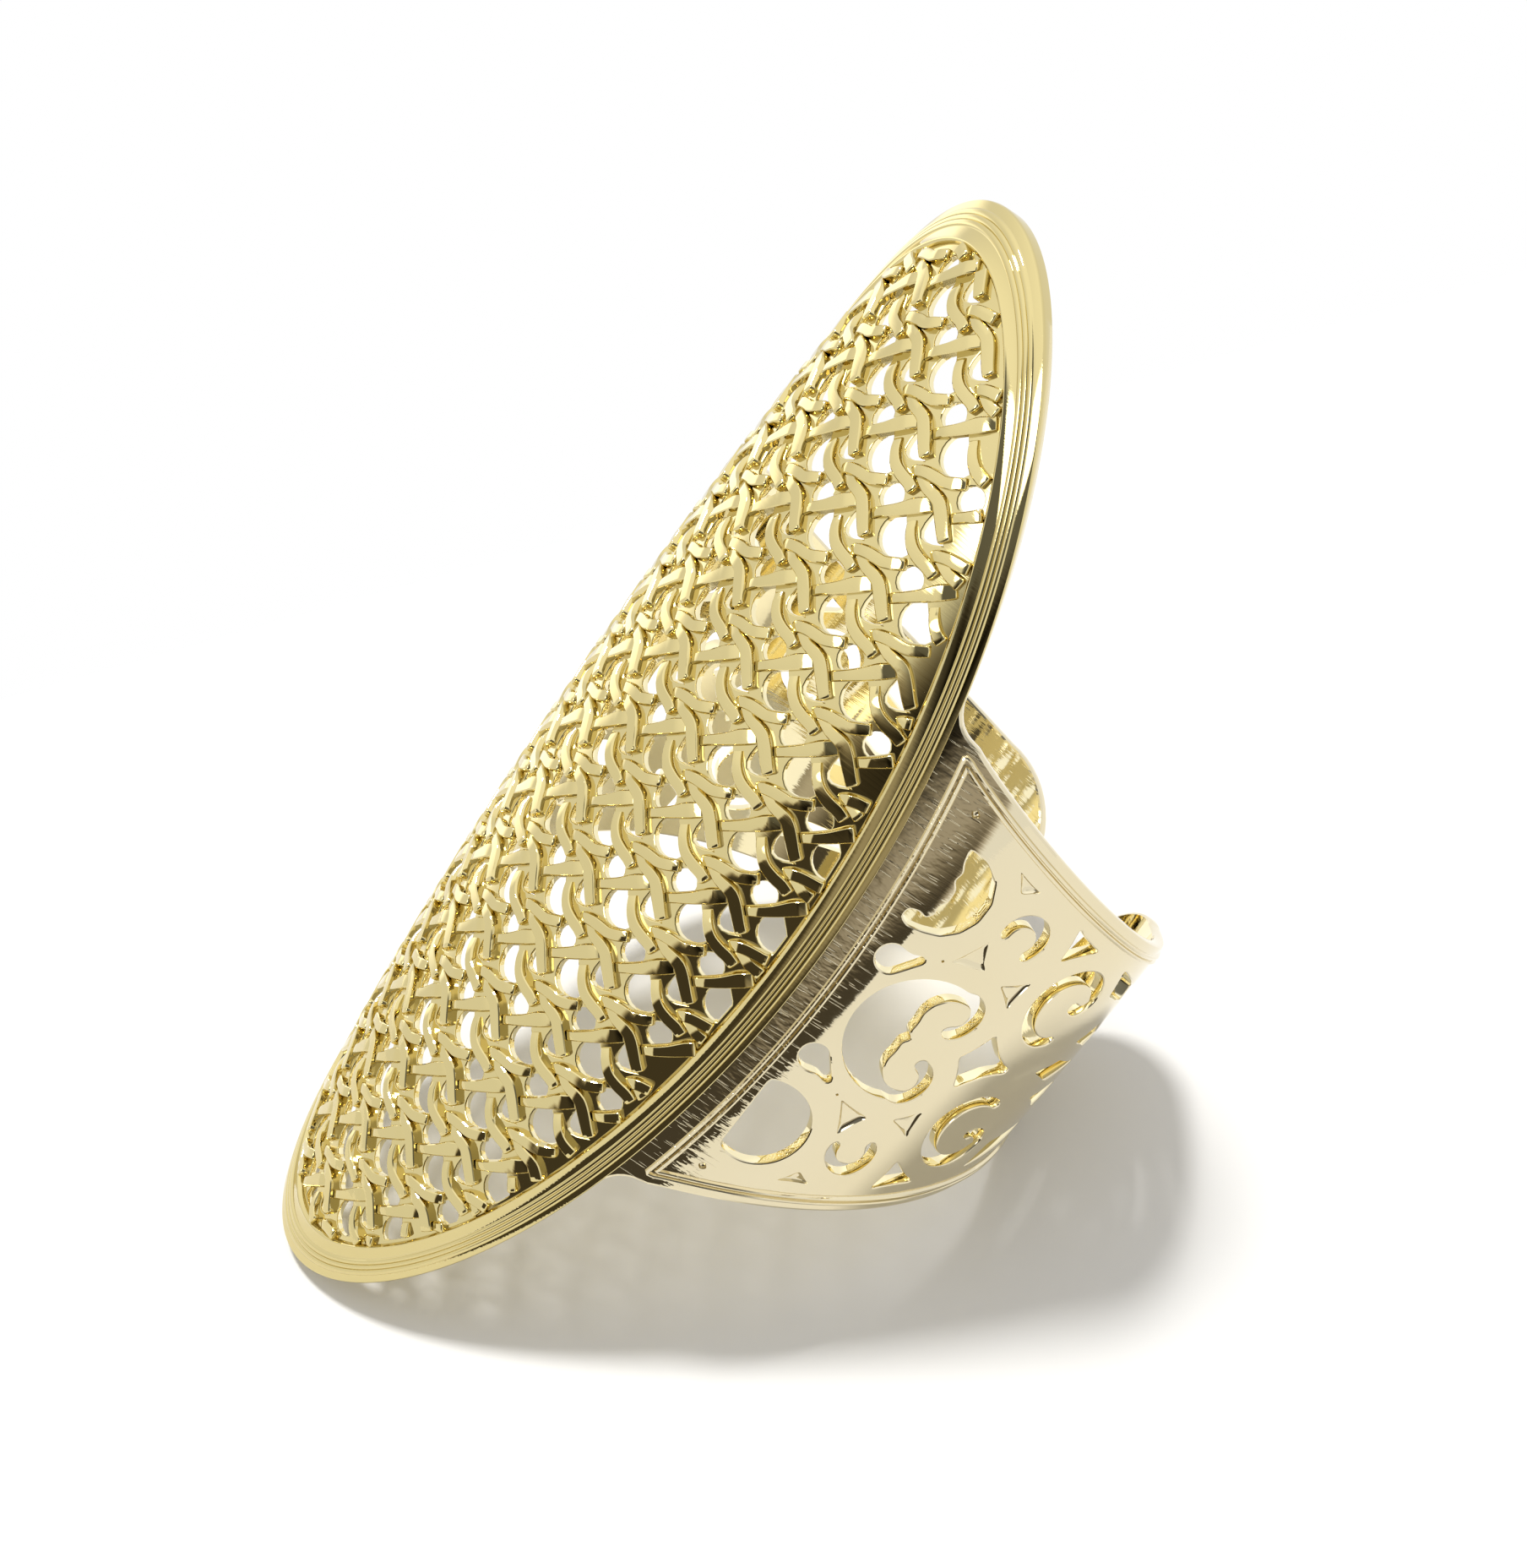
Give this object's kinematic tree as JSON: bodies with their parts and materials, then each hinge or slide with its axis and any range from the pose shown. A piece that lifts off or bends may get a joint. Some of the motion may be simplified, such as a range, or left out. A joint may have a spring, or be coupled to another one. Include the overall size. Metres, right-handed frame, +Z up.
{
  "type": "adjustable ring",
  "caption": "Open band finger ring with a long oval front plate of pierced basketweave relief inside a reeded rim, and pierced scroll wings.",
  "frame": {"origin": "centre of the bounding box at its base, on the surface that the ring rests on", "axes": "+Z up, X across the finger, the front plate faces -Y and up; the finger axis lies in the YZ plane, 48 degrees above +Y"},
  "size_m": [0.019, 0.028, 0.0283],
  "materials": {
    "gold_plate": "polished pale gold plating over pressed brass, with fine polishing lines"
  },
  "bodies": {
    "root": {"ring": "gold_plate"}
  },
  "joints": []
}
